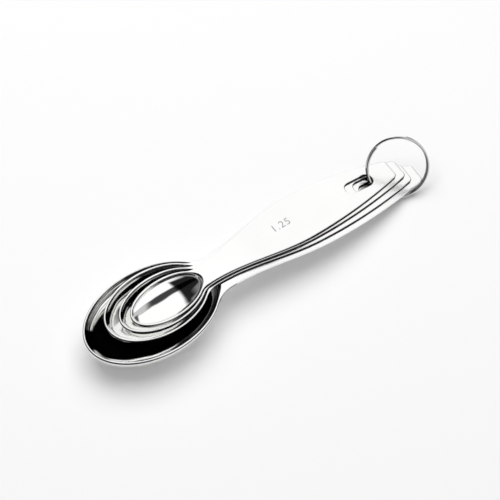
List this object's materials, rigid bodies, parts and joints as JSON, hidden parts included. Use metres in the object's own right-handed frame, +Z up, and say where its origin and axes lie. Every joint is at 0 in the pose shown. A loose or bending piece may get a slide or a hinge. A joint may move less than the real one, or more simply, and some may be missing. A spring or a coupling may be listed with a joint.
{
  "type": "nested measuring spoons on a split ring",
  "caption": "Nested stamped steel measuring spoons with oval bowls and leaf-shaped arched handles, threaded through long slots on a split wire ring.",
  "frame": {"origin": "middle of the whole set's outline, on the surface it stands on", "axes": "+X from the bowls to the handle tips along the tablespoon, +Z up, +Y to the far side"},
  "size_m": [0.1566, 0.0384, 0.0205],
  "materials": {
    "polished_steel": "mirror polished stainless steel",
    "ring_wire": "bright spring steel wire"
  },
  "bodies": {
    "tablespoon": {"tablespoon": "polished_steel"},
    "teaspoon": {"teaspoon": "polished_steel"},
    "half_teaspoon": {"half_teaspoon": "polished_steel"},
    "quarter_teaspoon": {"quarter_teaspoon": "polished_steel"},
    "split_ring": {"split_ring": "ring_wire"}
  },
  "joints": [
    {"name": "ring_turn", "type": "hinge", "parent": "tablespoon", "child": "split_ring", "pos_m": [0.06607, 0.0014, 0.0108], "axis": [-0.2553, -0.7053, 0.6613], "continuous": true},
    {"name": "teaspoon_lift", "type": "hinge", "parent": "tablespoon", "child": "teaspoon", "pos_m": [0.07359, 0, 0.01055], "axis": [0.2391, 0.7378, -0.6313], "range_deg": [0, 10]},
    {"name": "half_teaspoon_lift", "type": "hinge", "parent": "teaspoon", "child": "half_teaspoon", "pos_m": [0.07073, -0.00081, 0.01024], "axis": [0.2553, 0.7053, -0.6613], "range_deg": [0, 14]},
    {"name": "quarter_teaspoon_lift", "type": "hinge", "parent": "half_teaspoon", "child": "quarter_teaspoon", "pos_m": [0.07033, -0.00425, 0.00642], "axis": [0.2553, 0.7053, -0.6613], "range_deg": [0, 18]}
  ]
}
